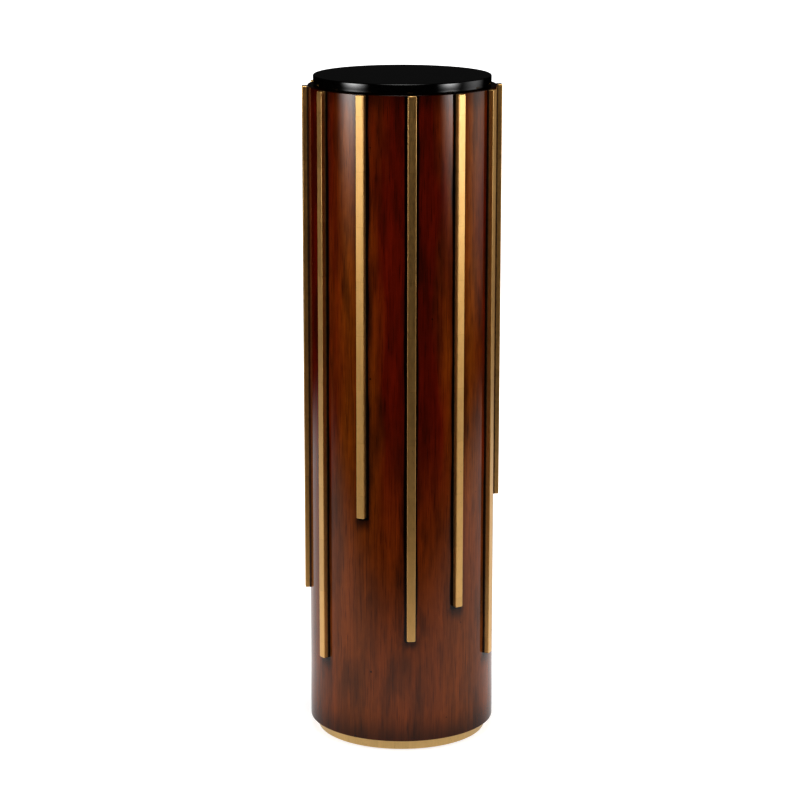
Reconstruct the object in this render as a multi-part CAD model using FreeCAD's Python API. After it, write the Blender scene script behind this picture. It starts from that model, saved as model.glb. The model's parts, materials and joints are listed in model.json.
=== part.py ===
import FreeCAD, Part
import math
import os

from FreeCAD import Vector

# A free-standing round column for showing one object: a hollow mahogany-veneered column with
# twelve gold-leafed bars, a black stone disc on top and a gold-leafed plinth disc set back below.
# Millimetres. +Z is up, the origin is on the floor under the column's axis, and the front is -Y.
# Angles round the column are in degrees from the front, turning towards +X.

# Heights, from the floor up
overall_height = 1067.0
glide_lift = 3.0
plinth_height = 17.7
stone_thickness = 15.0
bedding_thickness = 1.0

# Diameters
column_diameter = 296.5
stone_diameter = 279.0
plinth_diameter = 271.5

# Applied bars: four lengths that repeat round the column, all flush with the column's top
bar_lengths = (862.0, 813.0, 909.0, 664.0)
bar_repeats = 3
first_bar_angle = 5.6
bar_width = 13.6
bar_depth = 8.7
bar_edge_radius = 1.2
bar_end_radius = 2.0

# Column wall and its inner frame
veneer_thickness = 0.6
wrap_thickness = 6.0
glue_line = 0.1
wrap_seam = 1.0
outer_seam_angle = 350.6
inner_seam_angle = 170.6
cap_thickness = 18.0
cap_edge_radius = 1.0
former_thickness = 18.0
former_opening_diameter = 130.0
former_count = 4
base_thickness = 24.0
batten_width = 32.0
batten_depth = 22.0
batten_angles = (0.0, 90.0, 180.0, 270.0)
notch_clearance = 0.3

# Edges that are eased for the hand
stone_top_edge_radius = 1.2
stone_bottom_edge_radius = 0.5
plinth_edge_radius = 1.0

# Bedding under the stone
dab_diameter = 24.0
dab_circle_radius = 110.0
dab_angles = (45.0, 135.0, 225.0, 315.0)

# Headless pins through each bar
pin_diameter = 1.4
pin_length = 18.0
pin_point_length = 2.0
pin_spacing = 200.0
pin_end_distance = 25.0
pin_depth_below_face = 2.0
pin_hole_clearance = 0.05

# Countersunk wood screws: shank diameter, length, head diameter
cap_screw = (4.0, 33.0, 8.0)
cap_screw_circle_radius = 100.0
cap_screw_angles = (0.0, 60.0, 120.0, 180.0, 240.0, 300.0)
plinth_screw = (4.5, 36.0, 9.0)
plinth_screw_circle_radius = 85.0
plinth_screw_angles = (0.0, 90.0, 180.0, 270.0)
batten_screw = (5.0, 64.0, 10.0)
screw_point_length = 6.0
screw_hole_clearance = 0.1
drive_recess_width = 2.4
drive_recess_depth = 1.6

# Ballast plate and the bolts that hold it to the base board
ballast_diameter = 200.0
ballast_thickness = 25.0
ballast_edge_chamfer = 2.0
bolt_circle_radius = 60.0
bolt_angles = (60.0, 180.0, 300.0)
bolt_diameter = 8.0
bolt_hole_diameter = 9.0
bolt_head_height = 5.3
bolt_head_across_flats = 13.0
bolt_counterbore_diameter = 20.0
bolt_counterbore_depth = 6.0
bolt_beyond_nut = 2.5
washer_diameter = 24.0
washer_bore_diameter = 8.4
washer_thickness = 2.0
nut_height = 6.5

# Levelling glides: a steel stem with a hexagon, moulded into a nylon pad
glide_circle_radius = 112.0
glide_angles = (45.0, 135.0, 225.0, 315.0)
glide_stem_diameter = 8.0
glide_running_clearance = 0.05
glide_stem_top = 60.0
glide_stem_in_pad = 4.0
glide_pad_diameter = 30.0
glide_pad_height = 6.0
glide_pad_edge_radius = 1.0
glide_hexagon_across_flats = 13.0
glide_hexagon_height = 4.0
glide_pocket_diameter = 36.0
glide_pocket_depth = 11.0
glide_passage_diameter = 11.0
tee_nut_flange_diameter = 21.0
tee_nut_flange_thickness = 1.5
tee_nut_barrel_diameter = 10.0
tee_nut_barrel_length = 15.0

# Places worked out from the driving dimensions
column_radius = column_diameter / 2
column_bottom = glide_lift + plinth_height
stone_bottom = overall_height - stone_thickness
column_top = stone_bottom - bedding_thickness
cap_bottom = column_top - cap_thickness
wrap_outer_radius = column_radius - veneer_thickness - glue_line
seam_between_wraps = wrap_outer_radius - wrap_thickness
inner_wrap_outer_radius = seam_between_wraps - glue_line
wrap_inner_radius = inner_wrap_outer_radius - wrap_thickness
frame_radius = wrap_inner_radius - glue_line
base_top = column_bottom + base_thickness
ballast_top = base_top + ballast_thickness
bar_face_radius = column_radius + bar_depth
pin_outer_end = bar_face_radius - pin_depth_below_face


def cylinder(diameter, low, high):
    return Part.makeCylinder(diameter / 2, high - low, Vector(0, 0, low))


def tube(outer_radius, inner_radius, low, high):
    outside = cylinder(2 * outer_radius, low, high)
    return outside.cut(cylinder(2 * inner_radius, low, high))


def turned(shape, angle):
    """A copy of a shape modelled at the front, turned round the column's axis."""
    copy = shape.copy()
    copy.rotate(Vector(0, 0, 0), Vector(0, 0, 1), angle)
    return copy


def placed(shape, circle_radius, angle):
    """A copy of a shape modelled on the Z axis, set on a circle round the column's axis."""
    copy = shape.copy()
    copy.translate(Vector(0, -circle_radius, 0))
    return turned(copy, angle)


def ring_of(shape, circle_radius, angles):
    return Part.makeCompound([placed(shape, circle_radius, angle) for angle in angles])


def hexagon(across_flats, low, high):
    corner_radius = across_flats / math.sqrt(3)
    corners = []
    for corner in range(7):
        turn = math.radians(60 * corner)
        corners.append(Vector(corner_radius * math.cos(turn), corner_radius * math.sin(turn), low))
    return Part.Face(Part.makePolygon(corners)).extrude(Vector(0, 0, high - low))


def edges_at_height(shape, height):
    """The round edges that lie flat at one height."""
    found = []
    for edge in shape.Edges:
        box = edge.BoundBox
        if abs(box.ZMin - height) < 0.001 and abs(box.ZMax - height) < 0.001:
            found.append(edge)
    return found


def wood_screw(size, clearance=0.0):
    """A countersunk screw standing on its point, its flat head's face at height 0."""
    shank_diameter, length, head_diameter = size
    shank_radius = shank_diameter / 2 + clearance
    head_radius = head_diameter / 2 + clearance
    head_height = head_radius - shank_radius
    shank = Part.makeCylinder(shank_radius, length - screw_point_length, Vector(0, 0, 0))
    shank.translate(Vector(0, 0, -(length - screw_point_length)))
    head = Part.makeCone(shank_radius, head_radius, head_height, Vector(0, 0, -head_height))
    point_reach = screw_point_length + clearance
    point = Part.makeCone(0, shank_radius, point_reach, Vector(0, 0, -length - clearance))
    return shank.fuse([head, point]).removeSplitter()


def driven_screw(size):
    """A wood screw with the square recess for its driver."""
    half = drive_recess_width / 2
    corner = Vector(-half, -half, -drive_recess_depth)
    recess = Part.makeBox(drive_recess_width, drive_recess_width, drive_recess_depth, corner)
    return wood_screw(size).cut(recess)


def upended(shape, height):
    """A screw turned to point up, its head's face at the given height."""
    copy = shape.copy()
    copy.rotate(Vector(0, 0, 0), Vector(1, 0, 0), 180)
    copy.translate(Vector(0, 0, height))
    return copy


def raised(shape, height):
    copy = shape.copy()
    copy.translate(Vector(0, 0, height))
    return copy


def bar_angle(index):
    return first_bar_angle + index * 360.0 / (bar_repeats * len(bar_lengths))


def pin_heights(length):
    """Evenly spaced heights for one bar's pins, the first and last near its ends."""
    run = length - 2 * pin_end_distance
    gaps = round(run / pin_spacing)
    return [column_top - pin_end_distance - run * gap / gaps for gap in range(gaps + 1)]


def pin(height):
    """A headless pin lying along the radius at the front, its blunt end outside."""
    straight = pin_length - pin_point_length
    shank = Part.makeCylinder(pin_diameter / 2, straight, Vector(0, -pin_outer_end, height), Vector(0, 1, 0))
    point_start = Vector(0, -pin_outer_end + straight, height)
    point = Part.makeCone(pin_diameter / 2, 0.2, pin_point_length, point_start, Vector(0, 1, 0))
    return shank.fuse(point).removeSplitter()


def pin_hole(height):
    radius = pin_diameter / 2 + pin_hole_clearance
    reach = pin_length + 2 * pin_hole_clearance
    start = Vector(0, -pin_outer_end - pin_hole_clearance, height)
    return Part.makeCylinder(radius, reach, start, Vector(0, 1, 0))


def all_pins(make):
    """The pins, or their holes, of every bar, each turned to its bar's angle."""
    shapes = []
    for index in range(bar_repeats * len(bar_lengths)):
        length = bar_lengths[index % len(bar_lengths)]
        for height in pin_heights(length):
            shapes.append(turned(make(height), bar_angle(index)))
    return shapes


def stone_top():
    stone = cylinder(stone_diameter, stone_bottom, overall_height)
    stone = stone.makeFillet(stone_top_edge_radius, edges_at_height(stone, overall_height))
    return stone.makeFillet(stone_bottom_edge_radius, edges_at_height(stone, stone_bottom))


def stone_bedding():
    dab = cylinder(dab_diameter, column_top, stone_bottom)
    return ring_of(dab, dab_circle_radius, dab_angles)


def cap_board():
    board = cylinder(column_diameter, cap_bottom, column_top)
    board = board.makeFillet(cap_edge_radius, edges_at_height(board, column_top))
    hole = raised(wood_screw(cap_screw, screw_hole_clearance), column_top)
    return board.cut(ring_of(hole, cap_screw_circle_radius, cap_screw_angles))


def cap_screws():
    screw = raised(driven_screw(cap_screw), column_top)
    return ring_of(screw, cap_screw_circle_radius, cap_screw_angles)


def seamed_tube(outer_radius, inner_radius, seam_angle):
    """A wrapped layer of the column wall: a tube with one open butt seam."""
    wall = tube(outer_radius, inner_radius, column_bottom, cap_bottom)
    height = cap_bottom - column_bottom
    gap = Part.makeBox(wrap_seam, column_radius, height, Vector(-wrap_seam / 2, -column_radius, column_bottom))
    return wall.cut(turned(gap, seam_angle))


def column_veneer():
    return tube(column_radius, column_radius - veneer_thickness, column_bottom, cap_bottom)


def outer_wrap():
    return seamed_tube(wrap_outer_radius, seam_between_wraps, outer_seam_angle)


def inner_wrap():
    return seamed_tube(inner_wrap_outer_radius, wrap_inner_radius, inner_seam_angle)


def batten():
    corner = Vector(-batten_width / 2, -frame_radius, base_top)
    block = Part.makeBox(batten_width, batten_depth, cap_bottom - base_top, corner)
    round_back = cylinder(2 * frame_radius, base_top, cap_bottom)
    screw_hole = upended(wood_screw(batten_screw, screw_hole_clearance), column_bottom)
    hole = placed(screw_hole, frame_radius - batten_depth / 2, 0)
    return block.common(round_back).cut(hole)


def former(level):
    """One former ring; level 0 is under the cap board, and the rest share the height below."""
    spacing = (cap_bottom - base_top) / former_count
    top = cap_bottom - level * spacing
    low = top - former_thickness
    ring = tube(frame_radius, former_opening_diameter / 2, low, top)
    width = batten_width + 2 * notch_clearance
    depth = batten_depth + notch_clearance
    notch = Part.makeBox(width, depth, former_thickness, Vector(-width / 2, -frame_radius, low))
    ring = ring.cut(Part.makeCompound([turned(notch, angle) for angle in batten_angles]))
    if level == 0:
        hole = raised(wood_screw(cap_screw, screw_hole_clearance), column_top)
        ring = ring.cut(ring_of(hole, cap_screw_circle_radius, cap_screw_angles))
    return ring


def base_board():
    board = cylinder(2 * frame_radius, column_bottom, base_top)
    bolt_hole = cylinder(bolt_hole_diameter, column_bottom, base_top)
    counterbore = cylinder(bolt_counterbore_diameter, column_bottom, column_bottom + bolt_counterbore_depth)
    barrel_hole = cylinder(tee_nut_barrel_diameter + 2 * screw_hole_clearance, column_bottom, base_top)
    plinth_hole = upended(wood_screw(plinth_screw, screw_hole_clearance), glide_lift)
    batten_hole = upended(wood_screw(batten_screw, screw_hole_clearance), column_bottom)
    board = board.cut(ring_of(bolt_hole.fuse(counterbore), bolt_circle_radius, bolt_angles))
    board = board.cut(ring_of(barrel_hole, glide_circle_radius, glide_angles))
    board = board.cut(ring_of(plinth_hole, plinth_screw_circle_radius, plinth_screw_angles))
    return board.cut(ring_of(batten_hole, frame_radius - batten_depth / 2, batten_angles))


def batten_screws():
    screw = upended(driven_screw(batten_screw), column_bottom)
    return ring_of(screw, frame_radius - batten_depth / 2, batten_angles)


def gilded_bar(index):
    """A bar with eased edges, its back hollowed to sit on the column."""
    length = bar_lengths[index % len(bar_lengths)]
    low = column_top - length
    back = column_radius - bar_width
    corner = Vector(-bar_width / 2, -bar_face_radius, low)
    bar = Part.makeBox(bar_width, bar_face_radius - back, length, corner)
    end_corners = [edge for edge in bar.Edges if abs(edge.BoundBox.YLength) > 1]
    bar = bar.makeFillet(bar_end_radius, end_corners)
    face_edges = [edge for edge in bar.Edges if edge.BoundBox.YMax < -bar_face_radius + 0.001]
    bar = bar.makeFillet(bar_edge_radius, face_edges)
    bar = bar.cut(cylinder(2 * (column_radius + glue_line), low - 1, column_top + 1))
    bar = bar.cut(Part.makeCompound([pin_hole(height) for height in pin_heights(length)]))
    return turned(bar, bar_angle(index))


def plinth_disc():
    board = cylinder(plinth_diameter, glide_lift, column_bottom)
    board = board.makeFillet(plinth_edge_radius, edges_at_height(board, glide_lift))
    pocket = cylinder(glide_pocket_diameter, glide_lift, glide_lift + glide_pocket_depth)
    passage = cylinder(glide_passage_diameter, glide_lift, column_bottom)
    screw_hole = upended(wood_screw(plinth_screw, screw_hole_clearance), glide_lift)
    board = board.cut(ring_of(pocket.fuse(passage), glide_circle_radius, glide_angles))
    return board.cut(ring_of(screw_hole, plinth_screw_circle_radius, plinth_screw_angles))


def plinth_screws():
    screw = upended(driven_screw(plinth_screw), glide_lift)
    return ring_of(screw, plinth_screw_circle_radius, plinth_screw_angles)


def ballast_plate():
    plate = cylinder(ballast_diameter, base_top, ballast_top)
    plate = plate.makeChamfer(ballast_edge_chamfer, edges_at_height(plate, ballast_top))
    hole = cylinder(bolt_hole_diameter, base_top, ballast_top)
    return plate.cut(ring_of(hole, bolt_circle_radius, bolt_angles))


def ballast_bolts():
    head_low = column_bottom + bolt_counterbore_depth - bolt_head_height
    head = hexagon(bolt_head_across_flats, head_low, column_bottom + bolt_counterbore_depth)
    shank_top = ballast_top + washer_thickness + nut_height + bolt_beyond_nut
    shank = cylinder(bolt_diameter, column_bottom + bolt_counterbore_depth, shank_top)
    shank = shank.makeChamfer(1.0, edges_at_height(shank, shank_top))
    return ring_of(head.fuse(shank), bolt_circle_radius, bolt_angles)


def ballast_washers():
    low = ballast_top
    high = low + washer_thickness
    washer = cylinder(washer_diameter, low, high).cut(cylinder(washer_bore_diameter, low, high))
    return ring_of(washer, bolt_circle_radius, bolt_angles)


def ballast_nuts():
    low = ballast_top + washer_thickness
    high = low + nut_height
    bore = cylinder(bolt_diameter + 2 * glide_running_clearance, low, high)
    nut = hexagon(bolt_head_across_flats, low, high).cut(bore)
    return ring_of(nut, bolt_circle_radius, bolt_angles)


def glide_tee_nuts():
    barrel = cylinder(tee_nut_barrel_diameter, base_top - tee_nut_barrel_length, base_top)
    flange = cylinder(tee_nut_flange_diameter, base_top, base_top + tee_nut_flange_thickness)
    bore_diameter = glide_stem_diameter + 2 * glide_running_clearance
    bore = cylinder(bore_diameter, base_top - tee_nut_barrel_length, base_top + tee_nut_flange_thickness)
    return ring_of(barrel.fuse(flange).cut(bore), glide_circle_radius, glide_angles)


def glide_stem(angle):
    stem_low = glide_pad_height - glide_stem_in_pad
    stem = cylinder(glide_stem_diameter, stem_low, glide_stem_top)
    stem = stem.makeChamfer(1.0, edges_at_height(stem, glide_stem_top))
    collar_top = glide_pad_height + glide_hexagon_height
    collar = hexagon(glide_hexagon_across_flats, glide_pad_height, collar_top)
    return placed(stem.fuse(collar), glide_circle_radius, angle)


def glide_pad(angle):
    pad = cylinder(glide_pad_diameter, 0, glide_pad_height)
    pad = pad.makeFillet(glide_pad_edge_radius, edges_at_height(pad, glide_pad_height))
    socket = cylinder(glide_stem_diameter, glide_pad_height - glide_stem_in_pad, glide_pad_height)
    return placed(pad.cut(socket), glide_circle_radius, angle)


def write(name, shape):
    shape.exportStep("parts/" + name + ".step")
    solids = len(shape.Solids)
    state = "valid" if shape.isValid() else "NOT VALID"
    print(f"{name:18s} {solids:3d} solid(s) {shape.Volume / 1000:10.2f} cm3  {state}")


os.makedirs("parts", exist_ok=True)

pin_holes = Part.makeCompound(all_pins(pin_hole))

write("stone_top", stone_top())
write("stone_bedding", stone_bedding())
write("cap_board", cap_board())
write("cap_screws", cap_screws())
write("column_veneer", column_veneer().cut(pin_holes))
write("outer_wrap", outer_wrap().cut(pin_holes))
write("inner_wrap", inner_wrap().cut(pin_holes))
write("base_board", base_board())
write("batten_screws", batten_screws())
write("bar_pins", Part.makeCompound(all_pins(pin)))
write("plinth_disc", plinth_disc())
write("plinth_screws", plinth_screws())
write("ballast_plate", ballast_plate())
write("ballast_bolts", ballast_bolts())
write("ballast_washers", ballast_washers())
write("ballast_nuts", ballast_nuts())
write("glide_tee_nuts", glide_tee_nuts())

for level in range(former_count):
    write(f"former_{level + 1}", former(level))

for number, angle in enumerate(batten_angles, start=1):
    write(f"batten_{number}", turned(batten(), angle))

for index in range(bar_repeats * len(bar_lengths)):
    write(f"gilded_bar_{index + 1:02d}", gilded_bar(index))

for number, angle in enumerate(glide_angles, start=1):
    write(f"glide_stem_{number}", glide_stem(angle))
    write(f"glide_pad_{number}", glide_pad(angle))
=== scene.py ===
# %% [markdown]
# # A mahogany display column with gilt bars
# The real object is a hollow round column, about a metre high, for showing one sculpture or vase.
# Its wall is mahogany veneer under a high-gloss lacquer. Twelve wooden bars covered in gold leaf
# run down it from the top, in four lengths. A disc of polished black stone lies on top, and a
# gilt plinth disc, set back in the shadow, carries it a little above the floor on four glides.
#
# The measured model comes first, because every new piece takes its size and place from it.

# %% Load the fixed frame
import json
import math
from functools import partial

import bmesh
import bpy
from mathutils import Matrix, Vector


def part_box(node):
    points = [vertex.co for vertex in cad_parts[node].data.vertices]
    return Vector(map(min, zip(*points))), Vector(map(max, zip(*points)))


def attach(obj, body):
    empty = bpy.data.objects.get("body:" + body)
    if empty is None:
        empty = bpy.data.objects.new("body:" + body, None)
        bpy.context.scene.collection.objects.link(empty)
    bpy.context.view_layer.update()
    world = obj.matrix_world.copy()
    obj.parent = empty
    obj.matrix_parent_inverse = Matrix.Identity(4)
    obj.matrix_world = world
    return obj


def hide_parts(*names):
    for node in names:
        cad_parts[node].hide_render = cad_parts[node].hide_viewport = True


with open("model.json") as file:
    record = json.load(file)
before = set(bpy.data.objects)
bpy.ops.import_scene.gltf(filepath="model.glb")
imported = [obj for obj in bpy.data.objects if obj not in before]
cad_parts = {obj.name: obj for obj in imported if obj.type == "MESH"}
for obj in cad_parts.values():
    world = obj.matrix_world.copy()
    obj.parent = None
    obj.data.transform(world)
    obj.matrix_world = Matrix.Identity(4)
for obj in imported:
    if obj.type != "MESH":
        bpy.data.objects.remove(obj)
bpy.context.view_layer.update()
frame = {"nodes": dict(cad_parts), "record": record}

print("nodes in the frame:", len(frame["nodes"]))

# %% [markdown]
# ## Sizes
# Each size is read from the frame's own boxes, so a change in the measured model carries over
# here. The few sizes that a box cannot give, such as how far an edge is eased, are named in
# millimetres and turned to metres with `MM`.

# %% Sizes taken from the frame
MM = 0.001

wall_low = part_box("column_veneer")[0]
cap_low, cap_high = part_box("cap_board")
stone_low, stone_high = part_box("stone_top")
plinth_low, plinth_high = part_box("plinth_disc")

column_radius = cap_high.x
column_bottom = wall_low.z
column_top = cap_high.z
print("column radius, bottom and top, in metres:")
print(round(column_radius, 4), round(column_bottom, 4), round(column_top, 4))

# %% [markdown]
# ## Where the bars stand
# Twelve bars share the circle, so they stand 30 degrees apart. Angles are counted from the front
# (the -Y side), turning towards +X. The first bar's angle and the four lengths come from the
# boxes of the bars, and the same numbers later tell the wood where its painted shade goes.

# %% Angles and lower ends of the bars
BAR_COUNT = 12
LENGTHS_IN_A_SEQUENCE = 4
BAR_WIDTH = 13.6 * MM
BAR_DEPTH = 8.7 * MM


def bar_node(index):
    return f"gilded_bar_{index % BAR_COUNT + 1:02d}"


def middle_angle(node_name):
    """The angle from the front, in radians, at which a node stands."""
    low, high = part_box(node_name)
    middle = (low + high) / 2
    return math.atan2(middle.x, -middle.y)


bar_step = math.tau / BAR_COUNT
first_bar_angle = middle_angle(bar_node(0))
bar_ends = [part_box(bar_node(index))[0].z for index in range(LENGTHS_IN_A_SEQUENCE)]
print("first bar stands", round(math.degrees(first_bar_angle), 2), "degrees right of the front")
print("lower ends above the floor:", [round(end, 3) for end in bar_ends])

# %% [markdown]
# ## Camera
# The object is seen from a little above its own height, with a long lens from four metres away,
# which keeps the column's sides nearly parallel. The camera is placed by distance, height and
# downward tilt, the three things that are set on a tripod.

# %% Camera
CAMERA_DISTANCE = 4.250
CAMERA_HEIGHT = 1.539
CAMERA_TILT = math.radians(13.164)
CAMERA_TURN = math.radians(0.040)
CAMERA_ROLL = math.radians(0.069)

camera_data = bpy.data.cameras.new("camera")
camera_data.sensor_width = 36
camera_data.lens = 122.49
camera = bpy.data.objects.new("camera", camera_data)
bpy.context.scene.collection.objects.link(camera)
camera.location = (0, -CAMERA_DISTANCE, CAMERA_HEIGHT)
camera.rotation_euler = (math.pi / 2 - CAMERA_TILT, 0, CAMERA_TURN)
camera.rotation_euler.rotate_axis("Z", CAMERA_ROLL)
bpy.context.scene.camera = camera
print("camera at", [round(value, 3) for value in camera.location])

# %% [markdown]
# ## One helper for shader nodes
# Every finish below is a small network of shader nodes. One function is enough to build them all:
# it adds a node, sets its own settings, and fills its inputs, with a plain value where the input
# is constant and with a link where another node is given. A Mix node's two colours have no names
# of their own that can be looked up, so their places are named here.

# %% Node helper and colour helper
UNDER, OVER = 6, 7


def add(tree, kind, inputs=None, **settings):
    """Add a shader node, set its settings, and fill its inputs with values or links."""
    made = tree.nodes.new("ShaderNode" + kind)
    for name, value in settings.items():
        setattr(made, name, value)
    for socket, value in (inputs or {}).items():
        if isinstance(value, bpy.types.Node):
            value = next(output for output in value.outputs if output.enabled)
        if isinstance(value, bpy.types.NodeSocket):
            tree.links.new(value, made.inputs[socket])
        else:
            made.inputs[socket].default_value = value
    return made


def linear(code):
    """A colour given as sRGB hex, such as "8a5a2b", as the linear values that shaders use."""
    channels = []
    for start in (0, 2, 4):
        value = int(code[start:start + 2], 16) / 255
        channels.append(value / 12.92 if value <= 0.04045 else ((value + 0.055) / 1.055) ** 2.4)
    return (*channels, 1.0)


def new_finish(name):
    """An empty material and its node tree."""
    material = bpy.data.materials.new(name)
    material.use_nodes = True
    material.node_tree.nodes.clear()
    return material, material.node_tree


def finish_with(tree, shader):
    """Send a shader to the material's output."""
    add(tree, "OutputMaterial", {"Surface": shader})


# %% [markdown]
# ## Studio
# A glossy round column is a mirror of the studio: what stands beside the camera shows in it as
# upright bands. So the studio has a soft box on each side of the camera with darkness between
# them, and a weaker one further round on the right. Below them, the column's lower third mirrors
# a pale floor.
#
# The floor and the backdrop that the camera sees are bright and throw no light of their own on
# the object. A second floor just under them, which the camera does not see, is the one that
# lights the object and shows in its gloss.
#
# The view keeps its "Standard" colours with a high contrast: the darks go deep, and the paper
# goes pure white.

# %% Backdrop and floors
bpy.context.scene.view_settings.view_transform = "Standard"
bpy.context.scene.view_settings.look = "High Contrast"

world = bpy.data.worlds.new("pale backdrop")
bpy.context.scene.world = world
world.use_nodes = True
world.node_tree.nodes["Background"].inputs["Color"].default_value = (1, 1, 1, 1)
world.node_tree.nodes["Background"].inputs["Strength"].default_value = 1.0
world.cycles_visibility.diffuse = False
world.cycles_visibility.glossy = False
world.cycles_visibility.transmission = False


def stage_disc(name, radius, height, paint, brightness, foot, pool=(0.0, 1.0, 90.0, 99.0)):
    """A round floor that glows inside a pool of light, and less so close to the object's foot."""
    bpy.ops.object.select_all(action="DESELECT")
    bpy.ops.mesh.primitive_circle_add(vertices=96, radius=radius, fill_type="NGON", location=(0, 0, height))
    piece = bpy.context.object
    piece.name = name
    middle, stretch, full, gone = pool
    material, tree = new_finish(name + " paint")
    place = add(tree, "TexCoord").outputs["Object"]
    from_foot = add(tree, "VectorMath", {0: place}, operation="LENGTH").outputs["Value"]
    shade = add(tree, "MapRange", {"Value": from_foot, "From Min": 0.16, "From Max": 0.42,
                                   "To Min": foot, "To Max": brightness}, interpolation_type="SMOOTHSTEP")
    place = add(tree, "Mapping", {"Vector": place, "Location": (0, -middle * stretch, 0),
                                  "Scale": (1, stretch, 1)})
    from_pool = add(tree, "VectorMath", {0: place}, operation="LENGTH").outputs["Value"]
    glow = add(tree, "MapRange", {"Value": from_pool, "From Min": gone, "From Max": full},
               interpolation_type="SMOOTHSTEP")
    glow = add(tree, "Math", {0: glow, 1: shade}, operation="MULTIPLY")
    shader = add(tree, "BsdfPrincipled", {
        "Base Color": linear(paint),
        "Roughness": 0.9,
        "Emission Color": (1, 1, 1, 1),
        "Emission Strength": glow,
    })
    finish_with(tree, shader)
    piece.data.materials.append(material)
    return piece


floor = stage_disc("floor", 30.0, 0.0, "c8c8c6", 1.0, 0.55)
floor.visible_glossy = False
floor.visible_diffuse = False
bounce_floor = stage_disc("bounce_floor", 3.2, -0.002, "6a6a68", 0.75, 0.5, (0.6, 1.6, 1.65, 2.95))
bounce_floor.visible_camera = False

# %% [markdown]
# The lamps are area lamps, because a soft box is one: a sheet of light with real width and
# height. A real one is brightest in its middle and dims towards its sides and its lower hem, and
# the gloss shows that as highlights with soft edges. Each lamp's own nodes draw it: the
# Parametric output says how far across and up its face a point is. The lamp over the camera
# draws the thin line on the stone's front edge, and a hint of wall behind lifts its flat top.

# %% Lamps


def soft_box(name, angle, tilt, distance, middle, size, brightness, rise=0.01, power=1):
    """A sheet of light that faces the column's axis, tilted down, and brightens over `rise` metres."""
    width, height = size
    light = bpy.data.lights.new(name, "AREA")
    light.shape = "RECTANGLE"
    light.size = width
    light.size_y = height
    light.energy = brightness * math.pi * width * height
    light.use_nodes = True
    tree = light.node_tree
    tree.nodes.clear()
    face = add(tree, "NewGeometry").outputs["Parametric"]
    face = add(tree, "SeparateXYZ", {0: face})
    aside = add(tree, "Math", {0: face.outputs["X"], 1: 0.5}, operation="SUBTRACT")
    aside = add(tree, "Math", {0: aside}, operation="ABSOLUTE")
    hump = add(tree, "MapRange", {"Value": aside, "From Min": 0.5, "From Max": 0.0},
               interpolation_type="SMOOTHSTEP")
    upwards = add(tree, "MapRange", {"Value": face.outputs["Y"], "From Max": rise / height})
    upwards = add(tree, "Math", {0: upwards, 1: power}, operation="POWER")
    strength = add(tree, "Math", {0: hump, 1: upwards}, operation="MULTIPLY")
    glow = add(tree, "Emission", {"Strength": strength})
    add(tree, "OutputLight", {"Surface": glow})

    lamp = bpy.data.objects.new(name, light)
    bpy.context.scene.collection.objects.link(lamp)
    turn = math.radians(angle)
    lamp.location = (distance * math.sin(turn), -distance * math.cos(turn), middle)
    lamp.rotation_euler = (math.radians(90 - tilt), 0, turn)


soft_box("left_soft_box", -63, 0, 2.2, 0.8, (1.75, 1.4), 7.2, 0.72, 5)
soft_box("right_soft_box", 62, 0, 2.2, 0.8, (1.5, 1.4), 6.2, 0.72, 5)
soft_box("far_right_soft_box", 102, 0, 2.2, 1.3, (2.2, 2.2), 1.2, 0.6)
soft_box("top_soft_box", 0, 52, 1.2, 2.7, (2.2, 1.3), 5.5)
soft_box("back_wall", 180, 0, 3.0, 1.6, (7.0, 1.4), 0.02)

# %% [markdown]
# ## Lacquered mahogany
# The wall is sliced mahogany veneer, stained red-brown and covered with gloss lacquer. Five
# matched leaves of veneer go round it here, each warmer in its middle. Two things make it read as
# mahogany under lacquer. The ribbon is a soft change of tone across the grain. The pores are fine
# dark lines, always upright. Over them lies painted shade, a brown-black colour beside every bar,
# under every bar's end, on the ledge round the stone and along the lower edge; the top 35 mm is
# darker too. The number of leaves is a choice, and so is a browner tone painted over the lower
# third, a painted reflection that stands for what the gloss mirrors there.
#
# The grain is noise with the height squeezed, so that its spots are drawn out. The painted shade is
# worked out from the distance to the nearest bar, in millimetres.

# %% Mahogany: patterns


def grain(tree, position, across, squeeze, detail=2.0, shift=0.0):
    """Noise with spots `across` millimetres wide, and 1/squeeze times as tall."""
    scale = 1 / (across * MM)
    place = add(tree, "Mapping", {
        "Vector": position, "Location": (shift, shift, shift), "Scale": (scale, scale, scale * squeeze),
    })
    return add(tree, "TexNoise", {"Vector": place, "Scale": 1.0, "Detail": detail})


def place_beside_bars(tree, position):
    """How far round from the nearest bar's side a point is, how far under its end, and its angle."""
    put = partial(add, tree)
    place = put("SeparateXYZ", {0: position})
    front = put("Math", {0: place.outputs["Y"], 1: -1.0}, operation="MULTIPLY")
    angle = put("Math", {0: place.outputs["X"], 1: front}, operation="ARCTAN2")
    turned = put("Math", {0: angle, 1: first_bar_angle}, operation="SUBTRACT")
    steps = put("Math", {0: turned, 1: bar_step}, operation="DIVIDE")
    nearest = put("Math", {0: steps}, operation="ROUND")
    which = put("Math", {0: nearest, 1: LENGTHS_IN_A_SEQUENCE}, operation="FLOORED_MODULO")
    end = 0.0
    for index, height in enumerate(bar_ends):
        chosen = put("Math", {0: which, 1: index, 2: 0.5}, operation="COMPARE")
        end = put("Math", {0: chosen, 1: height, 2: end}, operation="MULTIPLY_ADD")
    aside = put("Math", {0: steps, 1: nearest}, operation="SUBTRACT")
    aside = put("Math", {0: aside}, operation="ABSOLUTE")
    aside = put("Math", {0: aside, 1: bar_step * column_radius, 2: -BAR_WIDTH / 2}, operation="MULTIPLY_ADD")
    aside = put("Math", {0: aside, 1: 0.0}, operation="MAXIMUM")
    under = put("Math", {0: end, 1: place.outputs["Z"]}, operation="SUBTRACT")
    under = put("Math", {0: under, 1: 0.0}, operation="MAXIMUM")
    return aside, under, turned


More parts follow.
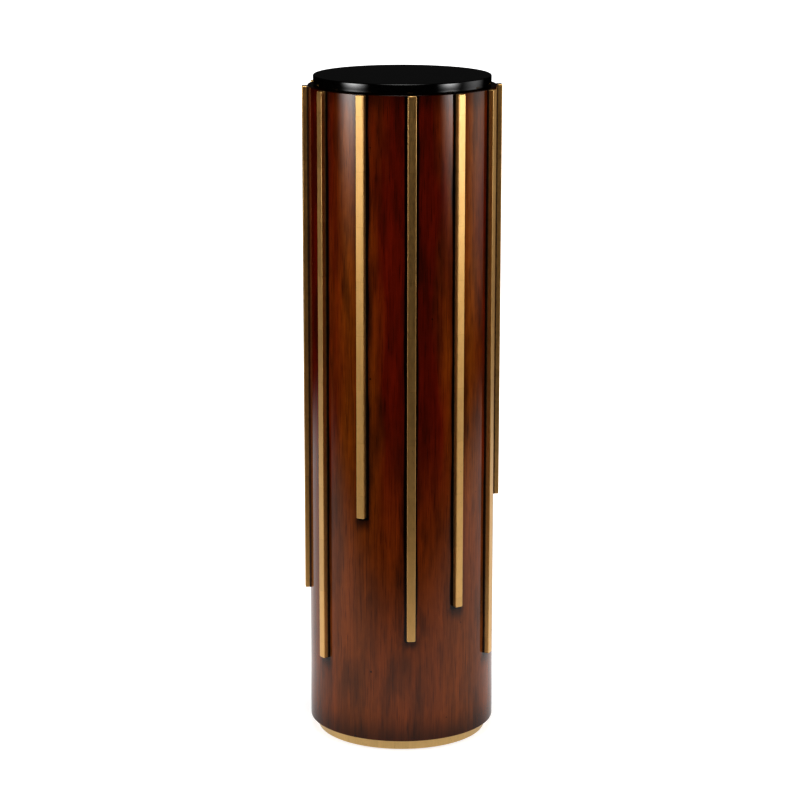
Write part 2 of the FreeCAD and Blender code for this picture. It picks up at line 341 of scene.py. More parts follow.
def painted_shade_reach(tree, aside, under, beside, below, wavering_edge):
    """1 where a band of painted shade ends: `beside` a bar, or `below` its end, along a wavering edge."""
    aside = add(tree, "Math", {0: aside, 1: beside}, operation="DIVIDE")
    under = add(tree, "Math", {0: under, 1: below}, operation="DIVIDE")
    reach = add(tree, "CombineXYZ", {"X": aside, "Y": under})
    reach = add(tree, "VectorMath", {0: reach}, operation="LENGTH").outputs["Value"]
    return add(tree, "Math", {0: reach, 1: wavering_edge}, operation="DIVIDE")


# %% [markdown]
# The colour is built up from the wood to the painted shade. The lacquer is the shader's coat: a thin
# clear layer with its own, smoother gloss, while the wood below keeps a softer one. Light
# leaves the coat as from a mirror, and that is what makes the column look wet and deep.

# %% Mahogany: the finish
VENEER_LEAVES = 5


def lacquered_mahogany():
    material, tree = new_finish("mahogany veneer, stained, glazed and gloss lacquered")
    put = partial(add, tree)
    position = put("TexCoord").outputs["Object"]
    height = put("SeparateXYZ", {0: position}).outputs["Z"]
    wander = grain(tree, position, 22, 0.2, 3, shift=5.5)
    wavering_edge = put("MapRange", {"Value": wander, "From Min": 0.3, "From Max": 0.7, "To Min": 0.6, "To Max": 1.5})
    aside, under, turned = place_beside_bars(tree, position)
    # Painted shade: a narrow dark band beside and under each bar (pool) and a wider, fainter one (haze).
    pool = painted_shade_reach(tree, aside, under, 4.2 * MM, 5 * MM, wavering_edge)
    haze = painted_shade_reach(tree, aside, under, 11 * MM, 26 * MM, wavering_edge)

    leaf = put("Math", {0: turned, 1: VENEER_LEAVES}, operation="MULTIPLY")
    leaf = put("Math", {0: leaf}, operation="COSINE")
    figure = grain(tree, position, 30, 0.16)
    warmth = put("Math", {0: figure, 1: 1.5, 2: -0.55}, operation="MULTIPLY_ADD")
    warmth = put("Math", {0: leaf, 1: -0.75, 2: warmth}, operation="MULTIPLY_ADD", use_clamp=True)
    colour = put("Mix", {0: warmth, UNDER: linear("6c2008"), OVER: linear("894b12")}, data_type="RGBA")
    # Painted reflection: a browner tone over the lower third, for the floor that the gloss mirrors there.
    foot = put("MapRange", {"Value": height, "From Min": 0.58, "From Max": 0.28, "To Max": 0.85},
               interpolation_type="SMOOTHSTEP")
    colour = put("Mix", {0: foot, UNDER: colour, OVER: linear("7c3f11")}, data_type="RGBA")

    ribbon = grain(tree, position, 16, 0.07, 3, shift=3.1)
    streak = grain(tree, position, 2.6, 0.03, 3, shift=7.7)
    mottle = grain(tree, position, 13, 0.6, 4, shift=9.9)
    tone = put("Math", {0: ribbon, 1: 1.5, 2: -0.2}, operation="MULTIPLY_ADD")
    tone = put("Math", {0: streak, 1: 0.8, 2: tone}, operation="MULTIPLY_ADD")
    tone = put("Math", {0: mottle, 1: 0.4, 2: tone}, operation="MULTIPLY_ADD")
    tone = put("Math", {0: tone, 1: 0.87}, operation="MULTIPLY")
    colour = put("VectorMath", {0: colour, "Scale": tone}, operation="SCALE")
    smear = grain(tree, position, 26, 0.2, 4, shift=6.6)
    smear = put("MapRange", {"Value": smear, "From Min": 0.5, "From Max": 0.68, "To Max": 0.5})
    colour = put("Mix", {0: smear, UNDER: colour, OVER: linear("2a160a")}, data_type="RGBA")

    pores = grain(tree, position, 1.3, 0.03, 2, shift=1.3)
    pore = put("MapRange", {"Value": pores, "From Min": 0.43, "From Max": 0.35, "To Max": 0.4})
    colour = put("Mix", {0: pore, UNDER: colour, OVER: linear("140302")}, data_type="RGBA")
    cell = put("TexVoronoi", {"Vector": position, "Scale": 1 / (24 * MM)})
    chance = put("SeparateColor", {0: cell.outputs["Color"]})
    size = put("MapRange", {"Value": chance.outputs[0], "From Min": 0.7, "From Max": 1.0, "To Max": 0.09})
    speck = put("Math", {0: size, 1: cell.outputs["Distance"]}, operation="SUBTRACT")
    speck = put("MapRange", {"Value": speck, "From Min": 0.0, "From Max": 0.03, "To Max": 0.8})
    colour = put("Mix", {0: speck, UNDER: colour, OVER: linear("0d0302")}, data_type="RGBA")

    # Painted shade: the wider brown-black band, faint beside each bar and stronger under its end.
    depth = put("MapRange", {"Value": under, "From Max": 6 * MM, "To Min": 0.2, "To Max": 0.8})
    haze = put("MapRange", {"Value": haze, "From Min": 1.0, "From Max": 0.1}, interpolation_type="SMOOTHSTEP")
    haze = put("Math", {0: haze, 1: depth}, operation="MULTIPLY")
    colour = put("Mix", {0: haze, UNDER: colour, OVER: linear("180a06")}, data_type="RGBA")
    # Painted shade along the foot of the wall, where less light comes up from the floor; the top 35 mm is
    # darkened too.
    hem = put("MapRange", {"Value": height, "From Min": column_bottom + 45 * MM, "From Max": column_bottom,
                           "To Max": 0.6}, interpolation_type="SMOOTHSTEP")
    collar = put("MapRange", {"Value": height, "From Min": column_top - 35 * MM, "From Max": column_top,
                              "To Max": 0.5}, interpolation_type="SMOOTHSTEP")
    hem = put("Math", {0: hem, 1: collar}, operation="MAXIMUM")
    colour = put("Mix", {0: hem, UNDER: colour, OVER: linear("1c0e08")}, data_type="RGBA")
    # Painted shade: the near-black band beside and under each bar, and on the ledge round the stone.
    ledge = put("MapRange", {"Value": height, "From Min": column_top - 1.6 * MM,
                             "From Max": column_top - 0.4 * MM, "To Max": 0.75})
    pool = put("MapRange", {"Value": pool, "From Min": 1.25, "From Max": 0.55, "To Max": 0.97},
               interpolation_type="SMOOTHSTEP")
    pool = put("Math", {0: pool, 1: ledge}, operation="MAXIMUM")
    colour = put("Mix", {0: pool, UNDER: colour, OVER: linear("0a0402")}, data_type="RGBA")

    ripple = grain(tree, position, 16, 0.3, 4, shift=2.2)
    relief = put("Math", {0: pores, 1: 0.15, 2: ripple}, operation="MULTIPLY_ADD")
    bump = put("Bump", {"Strength": 0.4, "Distance": 0.08 * MM, "Height": relief})
    shader = put("BsdfPrincipled", {
        "Base Color": colour,
        "Roughness": 0.5,
        "Specular IOR Level": 0.0,
        "Coat Weight": 1.0,
        "Coat Roughness": 0.11,
        "Coat IOR": 1.47,
        "Normal": bump,
        "Coat Normal": bump,
    })
    finish_with(tree, shader)
    return material


mahogany = lacquered_mahogany()
print("made:", mahogany.name)

# %% [markdown]
# ## Gold leaf
# Gold leaf is real metal beaten into squares about 85 mm wide, laid over a smooth red-brown clay
# so that each square laps the last. The metal is the same everywhere, so what the eye sees is
# small: the laps, a slight change of tone from leaf to leaf, a fine mottle where the leaf
# wrinkled, and rubbed specks where the clay shows. Painted shade, a dark brown, fills the corners
# against the wood. It is a metal in the shader, and the painted shade is where it stops being one.
# A thin varnish seals the leaf. It is a coat in the shader, and makes the brightest gold paler.
# Nobody gilds what can't be seen: the bars' backs and the plinth's underside stay sealed wood.

# %% Gold leaf: the finish
LEAF_WIDTH = 85 * MM


def gold_leaf(name, deep, bright, painted_shade_depth, stands_on, bare_within):
    """Leafed wood with painted shade next to the part that it stands against, and bare within a radius."""
    material, tree = new_finish(name)
    put = partial(add, tree)
    position = put("TexCoord").outputs["Object"]
    place = put("SeparateXYZ", {0: position})
    outwards = put("Mapping", {"Vector": position, "Scale": (1, 1, 0)})
    outwards = put("VectorMath", {0: outwards}, operation="LENGTH").outputs["Value"]
    if stands_on == "column":
        clear = put("Math", {0: outwards, 1: column_radius}, operation="SUBTRACT")
    else:
        clear = put("Math", {0: plinth_high.z, 1: place.outputs["Z"]}, operation="SUBTRACT")

    cloud = grain(tree, position, 12, 0.5, 3)
    wrinkle = grain(tree, position, 4, 0.7, 3, shift=8.1)
    brushed = grain(tree, position, 1.4, 0.06, 1, shift=6.3)
    grit = grain(tree, position, 1.3, 0.8, 2, shift=4.4)
    colour = put("Mix", {0: cloud, UNDER: linear(deep), OVER: linear(bright)}, data_type="RGBA")

    leaves = put("Math", {0: place.outputs["Z"], 1: 1 / LEAF_WIDTH}, operation="MULTIPLY")
    leaves = put("Math", {0: cloud, 1: 0.03, 2: leaves}, operation="MULTIPLY_ADD")
    leaf = put("Math", {0: leaves}, operation="FLOOR")
    column_of_leaf = put("Math", {0: place.outputs["X"], 1: 40.0}, operation="MULTIPLY")
    column_of_leaf = put("Math", {0: column_of_leaf}, operation="ROUND")
    leaf = put("Math", {0: column_of_leaf, 1: 7.3, 2: leaf}, operation="MULTIPLY_ADD")
    leaf = put("TexWhiteNoise", {"W": leaf}, noise_dimensions="1D")
    tone = put("Math", {0: leaf, 1: 0.10, 2: 0.82}, operation="MULTIPLY_ADD")
    tone = put("Math", {0: brushed, 1: 0.14, 2: tone}, operation="MULTIPLY_ADD")
    tone = put("Math", {0: wrinkle, 1: 0.10, 2: tone}, operation="MULTIPLY_ADD")
    colour = put("VectorMath", {0: colour, "Scale": tone}, operation="SCALE")
    lap = put("Math", {0: leaves, 1: 0.5}, operation="PINGPONG")
    lap = put("MapRange", {"Value": lap, "From Min": 0.012, "From Max": 0.002, "To Max": 0.15})
    colour = put("Mix", {0: lap, UNDER: colour, OVER: linear("b5803c")}, data_type="RGBA")

    rubbed = put("MapRange", {"Value": grit, "From Min": 0.69, "From Max": 0.75, "To Max": 0.7})
    colour = put("Mix", {0: rubbed, UNDER: colour, OVER: linear("4a2110")}, data_type="RGBA")
    # Painted shade: a dark brown where the gold meets the wood, and there the leaf stops being metal.
    painted_shade = put("Math", {0: clear, 1: painted_shade_depth}, operation="DIVIDE")
    painted_shade = put("Math", {0: wrinkle, 1: 0.3, 2: painted_shade}, operation="MULTIPLY_ADD")
    painted_shade = put("MapRange", {"Value": painted_shade, "From Min": 1.25, "From Max": 0.7, "To Max": 0.95},
                interpolation_type="SMOOTHSTEP")
    colour = put("Mix", {0: painted_shade, UNDER: colour, OVER: linear("220b04")}, data_type="RGBA")
    bare = put("MapRange", {"Value": outwards, "From Min": bare_within + 0.3 * MM, "From Max": bare_within})
    colour = put("Mix", {0: bare, UNDER: colour, OVER: linear("7a5230")}, data_type="RGBA")
    cover = put("Math", {0: bare, 1: painted_shade}, operation="MAXIMUM")
    metal = put("Math", {0: cover, 1: -0.95, 2: 1.0}, operation="MULTIPLY_ADD")

    relief = put("Math", {0: grit, 1: 0.3, 2: wrinkle}, operation="MULTIPLY_ADD")
    bump = put("Bump", {"Strength": 0.35, "Distance": 0.05 * MM, "Height": relief})
    gloss = put("MapRange", {"Value": wrinkle, "From Min": 0.3, "From Max": 0.7,
                             "To Min": 0.40, "To Max": 0.49})
    shader = put("BsdfPrincipled", {
        "Base Color": colour, "Metallic": metal, "Roughness": gloss, "Normal": bump,
        "Coat Weight": 0.8, "Coat Roughness": 0.3, "Coat IOR": 1.5,
    })
    finish_with(tree, shader)
    return material


bar_gold = gold_leaf("gold leaf over clay, with painted shade against the wood", "d9ae6d", "e7bf81", 2.6 * MM,
                     "column", column_radius)
plinth_gold = gold_leaf("gold leaf over clay, worn, glazed under the column", "dab87c", "e7c58c", 1.6 * MM,
                        "plinth", plinth_high.x - 2 * MM)
print("made:", bar_gold.name, "and", plinth_gold.name)

# %% [markdown]
# ## Polished black stone
# The top is a fine-grained black stone, sawn and polished. Polish makes it nearly a mirror, and
# at this grain size the crystals only show as a faint grey sparkle under the surface.

# %% Black stone: the finish


def polished_black_stone():
    material, tree = new_finish("black stone, sawn and polished")
    put = partial(add, tree)
    position = put("TexCoord").outputs["Object"]
    crystals = put("TexVoronoi", {"Vector": position, "Scale": 1 / (1.6 * MM)})
    clouds = put("TexNoise", {"Vector": position, "Scale": 1 / (30 * MM), "Detail": 3.0})
    sparkle = put("SeparateColor", {0: crystals.outputs["Color"]})
    sparkle = put("MapRange", {"Value": sparkle.outputs[0], "From Min": 0.8, "From Max": 1.0})
    colour = put("Mix", {0: clouds, UNDER: linear("050505"), OVER: linear("0b0a0a")}, data_type="RGBA")
    colour = put("Mix", {0: sparkle, UNDER: colour, OVER: linear("181716")}, data_type="RGBA")
    haze = put("MapRange", {"Value": clouds, "To Min": 0.09, "To Max": 0.15})
    shader = put("BsdfPrincipled", {"Base Color": colour, "Roughness": haze, "IOR": 1.65})
    finish_with(tree, shader)
    return material


black_stone = polished_black_stone()
print("made:", black_stone.name)

# %% [markdown]
# ## The finishes inside
# The pieces inside the column are seen only when it is taken apart, but each is still what it is:
# plywood with its layers, pine with its rings, zinc with its crystals, cast iron under a rough
# black paint, white silicone and moulded nylon. They share one frame of nodes: two colours mixed
# by a pattern, a roughness and a little relief from the same pattern.

# %% Finishes inside


def plain_finish(name, dark, light, pattern_of, roughness, relief, metallic=0.0):
    """A finish of two colours, mixed by the pattern that pattern_of draws."""
    material, tree = new_finish(name)
    put = partial(add, tree)
    position = put("TexCoord").outputs["Object"]
    pattern = pattern_of(tree, position)
    colour = put("Mix", {0: pattern, UNDER: linear(dark), OVER: linear(light)}, data_type="RGBA")
    gloss = put("MapRange", {"Value": pattern, "To Min": roughness - 0.06, "To Max": roughness + 0.06})
    bump = put("Bump", {"Strength": 0.5, "Distance": relief, "Height": pattern})
    shader = put("BsdfPrincipled", {
        "Base Color": colour, "Metallic": metallic, "Roughness": gloss, "Normal": bump,
    })
    finish_with(tree, shader)
    return material


def layers_of_boards(tree, position):
    """Sheets of veneer 1.5 mm thick, one on the other, with a little grain in each."""
    height = add(tree, "SeparateXYZ", {0: position}).outputs["Z"]
    layer = add(tree, "Math", {0: height, 1: 1.5 * MM}, operation="PINGPONG")
    layer = add(tree, "MapRange", {"Value": layer, "From Min": 0.7 * MM, "From Max": 0.8 * MM, "To Max": 0.6})
    return add(tree, "Math", {0: grain(tree, position, 3, 1.0), 1: 0.5, 2: layer}, operation="MULTIPLY_ADD")


def layers_of_wraps(tree, position):
    """Bending plywood: sheets 2 mm thick that follow the wall, so they change with the radius."""
    outwards = add(tree, "Mapping", {"Vector": position, "Scale": (1, 1, 0)})
    outwards = add(tree, "VectorMath", {0: outwards}, operation="LENGTH").outputs["Value"]
    layer = add(tree, "Math", {0: outwards, 1: 2 * MM}, operation="PINGPONG")
    layer = add(tree, "MapRange", {"Value": layer, "From Min": 0.9 * MM, "From Max": 1.1 * MM, "To Max": 0.6})
    return add(tree, "Math", {0: grain(tree, position, 4, 0.1), 1: 0.5, 2: layer}, operation="MULTIPLY_ADD")


def pine_rings(tree, position):
    """Growth rings about 4 mm apart, drawn out along an upright batten."""
    return grain(tree, position, 4, 0.03, 3)


def zinc_crystals(tree, position):
    """The faint clouding of bright zinc plating, drawn 2 mm across so that it shows."""
    return grain(tree, position, 2, 1.0, 2)


def casting_skin(tree, position):
    """The sandy skin of a casting under paint, with grains about 1.5 mm across."""
    return grain(tree, position, 1.5, 1.0, 4)


def moulded_skin(tree, position):
    """The fine spark-eroded texture of a moulded or squeezed-out plastic, drawn 0.8 mm across."""
    return grain(tree, position, 0.8, 1.0, 2)


birch_plywood = plain_finish("birch plywood, sawn", "8a6238", "cda871", layers_of_boards, 0.7, 0.1 * MM)
bending_plywood = plain_finish("bending plywood, sanded", "8f6540", "c79d6c", layers_of_wraps, 0.75, 0.1 * MM)
pine = plain_finish("pine, planed", "b98a4e", "dfc08a", pine_rings, 0.6, 0.08 * MM)
zinc = plain_finish("steel, bright zinc plated", "a9adb2", "c9ccd0", zinc_crystals, 0.32, 0.02 * MM, 1.0)
iron = plain_finish("cast iron, painted black", "141517", "232527", casting_skin, 0.55, 0.25 * MM)
silicone = plain_finish("silicone sealant, white", "cfcfca", "e4e4e0", moulded_skin, 0.42, 0.05 * MM)
nylon = plain_finish("nylon, moulded black", "101112", "1b1c1d", moulded_skin, 0.45, 0.06 * MM)
print("made:", [m.name for m in (birch_plywood, bending_plywood, pine, zinc, iron, silicone, nylon)])

# %% [markdown]
# ## Helpers for modelling
# Everything below is modelled with the same moves as by hand: add a primitive at its size, go to
# edit mode, select faces or edges by where they are, and bevel, inset or extrude them. Small
# helpers save repeating the clicks. After a bevel, the Weighted Normal modifier keeps the large
# faces flat, so that the gloss on them doesn't bend before it reaches the rounded edge.

# %% Modelling helpers


def start_fresh(piece=None):
    """Leave edit mode and deselect everything, then make one piece the selected one."""
    if bpy.context.mode != "OBJECT":
        bpy.ops.object.mode_set(mode="OBJECT")
    bpy.ops.object.select_all(action="DESELECT")
    if piece:
        piece.select_set(True)
        bpy.context.view_layer.objects.active = piece


def settle(piece, name):
    """Write the piece's place, turn and size into its mesh, and name it."""
    start_fresh(piece)
    bpy.ops.object.transform_apply(location=True, rotation=True, scale=True)
    piece.name = name
    piece.data.name = name
    return piece


def round_stock(name, radius, low, high, vertices, place=(0, 0), **ends):
    """A cylinder between two heights, settled and open in edit mode, with nothing selected."""
    start_fresh()
    bpy.ops.mesh.primitive_cylinder_add(
        vertices=vertices, radius=radius, depth=high - low, location=(*place, (low + high) / 2), **ends)
    piece = settle(bpy.context.object, name)
    bpy.ops.object.mode_set(mode="EDIT")
    bpy.ops.mesh.select_all(action="DESELECT")
    return piece


def pick(piece, kind, wanted):
    """In edit mode, select only the "EDGE" or "FACE" elements that pass a test."""
    bpy.ops.mesh.select_all(action="DESELECT")
    bpy.ops.mesh.select_mode(type=kind)
    shape = bmesh.from_edit_mesh(piece.data)
    for element in (shape.edges if kind == "EDGE" else shape.faces):
        if wanted(element):
            element.select_set(True)
    bmesh.update_edit_mesh(piece.data)


def level(element, height, within=0.01 * MM):
    """Whether every corner of an edge or face lies at one height."""
    return all(abs(corner.co.z - height) < within for corner in element.verts)


def ease(piece, wanted, offset, segments, **profile):
    """Round the edges that pass a test."""
    pick(piece, "EDGE", wanted)
    bpy.ops.mesh.bevel(offset=offset, segments=segments, affect="EDGES", **profile)


def apply_modifier(piece, kind, **settings):
    """Add a modifier, set it, and apply it."""
    start_fresh(piece)
    bpy.ops.object.modifier_add(type=kind)
    modifier = piece.modifiers[-1]
    for name, value in settings.items():
        setattr(modifier, name, value)
    bpy.ops.object.modifier_apply(modifier=modifier.name)


slots = {entry["node"]: entry["material_slot"] for entry in frame["record"]["subparts"]}


def finish_piece(piece, finish, node, body="column"):
    """Smooth a piece, give it its finish, and let it stand for its node in the frame."""
    start_fresh(piece)
    bpy.ops.object.shade_smooth_by_angle(angle=math.radians(50))
    apply_modifier(piece, "WEIGHTED_NORMAL", weight=100, keep_sharp=True)
    piece.data.materials.clear()
    piece.data.materials.append(finish)
    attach(piece, body)
    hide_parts(node)
    print(piece.name, "has", len(piece.data.polygons), "faces")


# %% [markdown]
# ## The stone disc
# A stone top is a flat disc whose upper edge has been eased with a wheel until it is safe to the
# hand. Its side is drawn in by about a third of a millimetre towards the bottom. That is a
# modeller's choice, not a known shape: it can't be seen as a shape, and it makes the reflection
# fade down the side. So the side is cut into bands by bisecting it, and each is drawn in by a
# hair more than the one above.

# %% Stone disc
stone_radius = stone_high.x
UPPER_ROUNDING = 1.5 * MM
LOWER_ROUNDING = 0.6 * MM
SIDE_BANDS = 6
UNDERCUT = 0.36 * MM

stone = round_stock("stone_disc", stone_radius, stone_low.z, stone_high.z, 192)
ease(stone, lambda edge: level(edge, stone_high.z), UPPER_ROUNDING, 6)
side_high = stone_high.z - UPPER_ROUNDING
for band in range(1, SIDE_BANDS + 1):
    height = side_high - (side_high - stone_low.z) * band / SIDE_BANDS
    if band < SIDE_BANDS:
        bpy.ops.mesh.select_all(action="SELECT")
        bpy.ops.mesh.bisect(plane_co=(0, 0, height), plane_no=(0, 0, 1))
    drawn_in = 1 - UNDERCUT / stone_radius * (band / SIDE_BANDS) ** 2
    pick(stone, "EDGE", lambda edge: level(edge, height) and edge.verts[0].co.xy.length > stone_radius * 0.99)
    bpy.ops.transform.resize(value=(drawn_in, drawn_in, 1), center_override=(0, 0, height))
ease(stone, lambda edge: level(edge, stone_low.z), LOWER_ROUNDING, 2)
bpy.ops.object.mode_set(mode="OBJECT")
finish_piece(stone, black_stone, "stone_top")

# %% [markdown]
# ## The cap board
# The cap closes the column and shows as a narrow ledge round the stone. Its arris, the corner
# between ledge and side, was sanded to a small radius before lacquering.

# %% Cap board
cap = round_stock("cap", column_radius, cap_low.z, cap_high.z, 240)
ease(cap, lambda edge: level(edge, cap_high.z), 0.9 * MM, 4)
bpy.ops.object.mode_set(mode="OBJECT")
finish_piece(cap, mahogany, "cap_board")

# %% [markdown]
# ## The column wall
# The wall is a thin tube: a sheet of veneer wrapped round the core. A cylinder with open ends
# gives the sheet, and the Solidify modifier gives it the veneer's thickness, inwards. The lower
# arris is eased by a hair.

# %% Column wall
VENEER_THICKNESS = 0.6 * MM

wall = round_stock("column_wall", column_radius, column_bottom, cap_low.z, 240, end_fill_type="NOTHING")
bpy.ops.object.mode_set(mode="OBJECT")
apply_modifier(wall, "SOLIDIFY", thickness=VENEER_THICKNESS, offset=-1)
bpy.ops.object.mode_set(mode="EDIT")
LOWER_ARRIS = 0.25 * MM
outer = column_radius - VENEER_THICKNESS / 4


def on_lower_arris(edge):
    return level(edge, column_bottom) and all(c.co.xy.length > outer for c in edge.verts)


ease(wall, on_lower_arris, LOWER_ARRIS, 2)
bpy.ops.object.mode_set(mode="OBJECT")
finish_piece(wall, mahogany, "column_veneer")

# %% [markdown]
# ## The gilt bars
# A bar is a strip of wood, planed square, with its corners taken off by sandpaper before gesso
# and leaf went on. Its ends are rounded more than its long edges. It is modelled once for each of
# the four lengths, at the front, and copies are then turned to their own places round the column.

# %% Gilt bars
END_ROUNDING = 2.0 * MM
EDGE_ROUNDING = 1.2 * MM
bar_face = -(column_radius + BAR_DEPTH)
bar_back = -(column_radius - 0.05 * MM)


def model_bar(lower_end):
    start_fresh()
    bpy.ops.mesh.primitive_cube_add(
        size=1, location=(0, (bar_face + bar_back) / 2, (lower_end + column_top) / 2),
        scale=(BAR_WIDTH, bar_back - bar_face, column_top - lower_end))
    bar = settle(bpy.context.object, "bar")
    bpy.ops.object.mode_set(mode="EDIT")
    ease(bar, lambda edge: abs(edge.verts[0].co.y - edge.verts[1].co.y) > BAR_DEPTH / 2, END_ROUNDING, 4)
    ease(bar, lambda edge: all(abs(c.co.y - bar_face) < 0.01 * MM for c in edge.verts), EDGE_ROUNDING, 4)
    bpy.ops.object.mode_set(mode="OBJECT")
    return bar


patterns = [model_bar(end) for end in bar_ends]
for index in range(BAR_COUNT):
    pattern = patterns[index % LENGTHS_IN_A_SEQUENCE]
    bar = bpy.data.objects.new("bar", pattern.data.copy())
    bpy.context.scene.collection.objects.link(bar)
    bar.rotation_euler = (0, 0, first_bar_angle + index * bar_step)
    settle(bar, f"gilt_bar_{index + 1:02d}")
    finish_piece(bar, bar_gold, bar_node(index))
for pattern in patterns:
    bpy.data.objects.remove(pattern)

# %% [markdown]
# ## The plinth
# The plinth is a low gilt disc. Four pockets in its underside hide the glides, and a passage
# runs on up from each for the glide's stem. Four countersunk holes between them take the screws
# that hold the plinth to the column. A drill cuts all these in the workshop, and the Boolean
# modifier cuts them here. The pocket's cutter flares at its mouth to leave a chamfered rim, and
# the screw hole's cutter flares more, to take the screw's cone-shaped head.

# %% Plinth
plinth_radius = plinth_high.x
POCKET_RADIUS = 18.0 * MM
POCKET_DEPTH = 11.0 * MM
PASSAGE_RADIUS = 5.5 * MM
RIM_CHAMFER = 0.8 * MM
GLIDES = 4
SCREW_CIRCLE = 85.0 * MM
SCREW_HOLE_RADIUS = 2.35 * MM
SCREW_HEAD_RADIUS = 4.6 * MM
CLEAR_OF_BOARD = 1.0 * MM


def glide_place(number):
    low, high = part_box(f"glide_pad_{number}")
    return ((low.x + high.x) / 2, (low.y + high.y) / 2)


plinth = round_stock("plinth", plinth_radius, plinth_low.z, plinth_high.z, 240)
ease(plinth, lambda edge: level(edge, plinth_low.z), 1.0 * MM, 4)
ease(plinth, lambda edge: level(edge, plinth_high.z), 0.4 * MM, 2)
bpy.ops.object.mode_set(mode="OBJECT")
for number in range(1, GLIDES + 1):
    x, y = glide_place(number)
    rim = plinth_low.z + RIM_CHAMFER
    pocket = round_stock("pocket", POCKET_RADIUS, rim, plinth_low.z + POCKET_DEPTH, 64, (x, y))
    pick(pocket, "FACE", lambda face: level(face, rim))
    bpy.ops.mesh.extrude_region_move(TRANSFORM_OT_translate={"value": (0, 0, -2 * RIM_CHAMFER)})
    flare = 1 + 2 * RIM_CHAMFER / POCKET_RADIUS
    bpy.ops.transform.resize(value=(flare, flare, 1), center_override=(x, y, rim - 2 * RIM_CHAMFER))
    passage_low = plinth_low.z + CLEAR_OF_BOARD
    cutter_high = plinth_high.z + CLEAR_OF_BOARD
    passage = round_stock("passage", PASSAGE_RADIUS, passage_low, cutter_high, 32, (x, y))
    quarter = math.tau * number / GLIDES
    x, y = SCREW_CIRCLE * math.cos(quarter), SCREW_CIRCLE * math.sin(quarter)
    hole = round_stock("hole", SCREW_HOLE_RADIUS, plinth_low.z, cutter_high, 32, (x, y))
    mouth = plinth_low.z - CLEAR_OF_BOARD
    pick(hole, "FACE", lambda face: level(face, plinth_low.z))
    bpy.ops.mesh.extrude_region_move(TRANSFORM_OT_translate={"value": (0, 0, -CLEAR_OF_BOARD)})
    sunk = SCREW_HEAD_RADIUS - SCREW_HOLE_RADIUS
    pick(hole, "EDGE", lambda edge: level(edge, plinth_low.z))
    bpy.ops.transform.translate(value=(0, 0, sunk))
    pick(hole, "FACE", lambda face: level(face, mouth))
    flare = 1 + (sunk + CLEAR_OF_BOARD) / SCREW_HOLE_RADIUS
    bpy.ops.transform.resize(value=(flare, flare, 1), center_override=(x, y, mouth))
    for cutter in (pocket, passage, hole):
        apply_modifier(plinth, "BOOLEAN", object=cutter, operation="DIFFERENCE", solver="EXACT")
        bpy.data.objects.remove(cutter)
finish_piece(plinth, plinth_gold, "plinth_disc")

# %% [markdown]
# ## The levelling glides
# A glide has two pieces that turn together: a moulded nylon pad, and a steel stem with a hexagon
# for the spanner. The pad's underside is hollowed so that it stands on its rim, and a groove
# runs round its top. The stem's thread is one V-shaped section, a circle of three vertices,
# wound up the stem by the Screw modifier; at a pitch of 1.25 mm that takes about forty turns.

# %% Glides
PAD_RADIUS = 15.0 * MM
PAD_HEIGHT = 6.0 * MM
HEXAGON_HEIGHT = 4.0 * MM
HEXAGON_ACROSS_FLATS = 13.0 * MM
STEM_RADIUS = 4.0 * MM
THREAD_PITCH = 1.25 * MM
THREAD_DEPTH = 0.6 * MM
stem_low, stem_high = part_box("glide_stem_1")
pad_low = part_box("glide_pad_1")[0]
pad_top = pad_low.z + PAD_HEIGHT
hexagon_top = pad_top + HEXAGON_HEIGHT


def model_pad():
    pad = round_stock("pad", PAD_RADIUS, pad_low.z, pad_top, 64)
    pick(pad, "FACE", lambda face: level(face, pad_low.z))
    bpy.ops.mesh.inset(thickness=3 * MM)
    bpy.ops.mesh.inset(thickness=0.8 * MM)
    bpy.ops.transform.translate(value=(0, 0, 0.8 * MM))
    pick(pad, "FACE", lambda face: level(face, pad_top))
    bpy.ops.mesh.inset(thickness=2.5 * MM)
    bpy.ops.mesh.inset(thickness=0.5 * MM)
    bpy.ops.transform.translate(value=(0, 0, -0.5 * MM))
    bpy.ops.mesh.inset(thickness=1.6 * MM)
    bpy.ops.mesh.inset(thickness=0.5 * MM)
    bpy.ops.transform.translate(value=(0, 0, 0.5 * MM))
    on_rim = PAD_RADIUS - 0.1 * MM
    ease(pad, lambda edge: level(edge, pad_top) and edge.verts[0].co.xy.length > on_rim, 1.0 * MM, 4)
    ease(pad, lambda edge: level(edge, pad_low.z) and edge.verts[0].co.xy.length > on_rim, 0.7 * MM, 3)
    bpy.ops.object.mode_set(mode="OBJECT")
    return pad


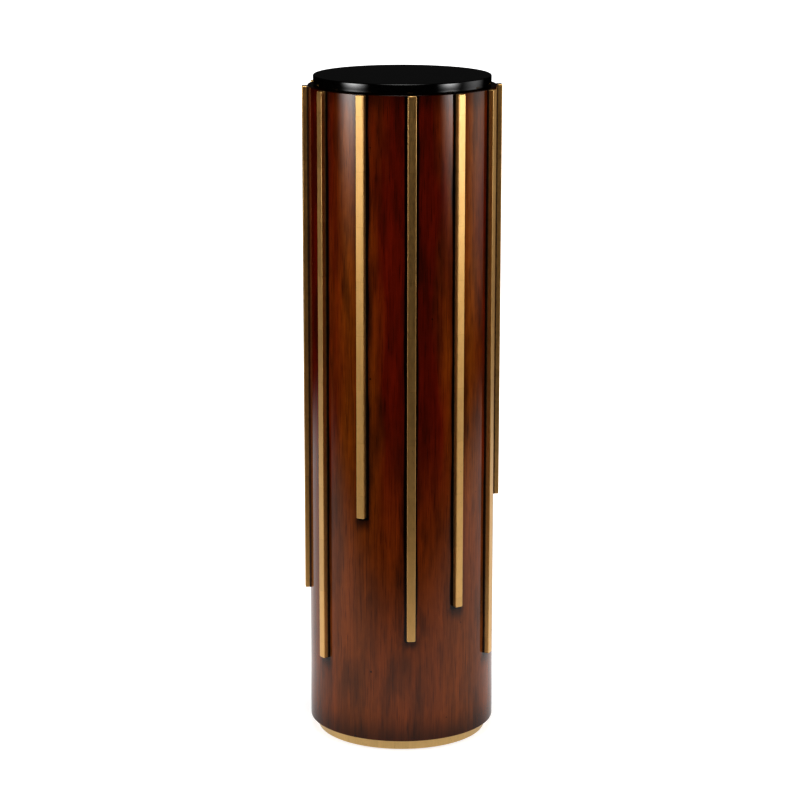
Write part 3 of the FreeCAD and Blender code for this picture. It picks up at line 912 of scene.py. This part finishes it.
def model_stem():
    hexagon = round_stock("hexagon", HEXAGON_ACROSS_FLATS / 2 / math.cos(math.pi / 6), pad_top, hexagon_top, 6)
    ease(hexagon, lambda edge: level(edge, hexagon_top), 0.5 * MM, 2)
    core = round_stock("core", STEM_RADIUS - THREAD_DEPTH, stem_low.z, stem_high.z, 32)
    ease(core, lambda edge: level(edge, stem_high.z), 0.8 * MM, 2)
    start_fresh()
    turns = int((stem_high.z - hexagon_top) / THREAD_PITCH) - 2
    section = THREAD_DEPTH / 1.5
    bpy.ops.mesh.primitive_circle_add(
        vertices=3, radius=section * 1.15, rotation=(math.pi / 2, math.pi / 2, 0),
        location=(STEM_RADIUS - section * 1.15, 0, hexagon_top + THREAD_PITCH))
    thread = settle(bpy.context.object, "thread")
    apply_modifier(thread, "SCREW", screw_offset=THREAD_PITCH, iterations=turns, steps=20, render_steps=20,
                   use_merge_vertices=True, use_normal_calculate=True)
    bpy.ops.object.mode_set(mode="EDIT")
    bpy.ops.mesh.select_all(action="DESELECT")
    bpy.ops.mesh.select_mode(type="EDGE")
    bpy.ops.mesh.select_non_manifold(extend=False)
    bpy.ops.mesh.fill()
    bpy.ops.mesh.select_all(action="SELECT")
    bpy.ops.mesh.normals_make_consistent(inside=False)
    start_fresh(hexagon)
    core.select_set(True)
    thread.select_set(True)
    bpy.ops.object.join()
    return bpy.context.object


pad_pattern = model_pad()
stem_pattern = model_stem()
for number in range(1, GLIDES + 1):
    for pattern, kind, finish in ((pad_pattern, "pad", nylon), (stem_pattern, "stem", zinc)):
        piece = bpy.data.objects.new(kind, pattern.data.copy())
        bpy.context.scene.collection.objects.link(piece)
        piece.location = (*glide_place(number), 0)
        settle(piece, f"glide_{kind}_piece_{number}")
        finish_piece(piece, finish, f"glide_{kind}_{number}", f"glide_{number}")
bpy.data.objects.remove(pad_pattern)
bpy.data.objects.remove(stem_pattern)

# %% [markdown]
# ## The pieces that keep their measured shape
# The core, the ballast and the fasteners are right as they were measured. They only need their
# finishes, which follow from each node's slot in the record.

# %% Finishes for the measured pieces
finish_of_slot = {
    "black_stone": black_stone, "silicone": silicone, "mahogany": mahogany, "plywood": birch_plywood,
    "softwood": pine, "gold_leaf_on_wood": bar_gold, "cast_iron": iron, "zinc_plated_steel": zinc,
    "nylon": nylon,
}
for node, slot in slots.items():
    materials = frame["nodes"][node].data.materials
    materials.clear()
    materials.append(bending_plywood if node.endswith("_wrap") else finish_of_slot[slot])
print("finished", len(slots), "measured pieces")
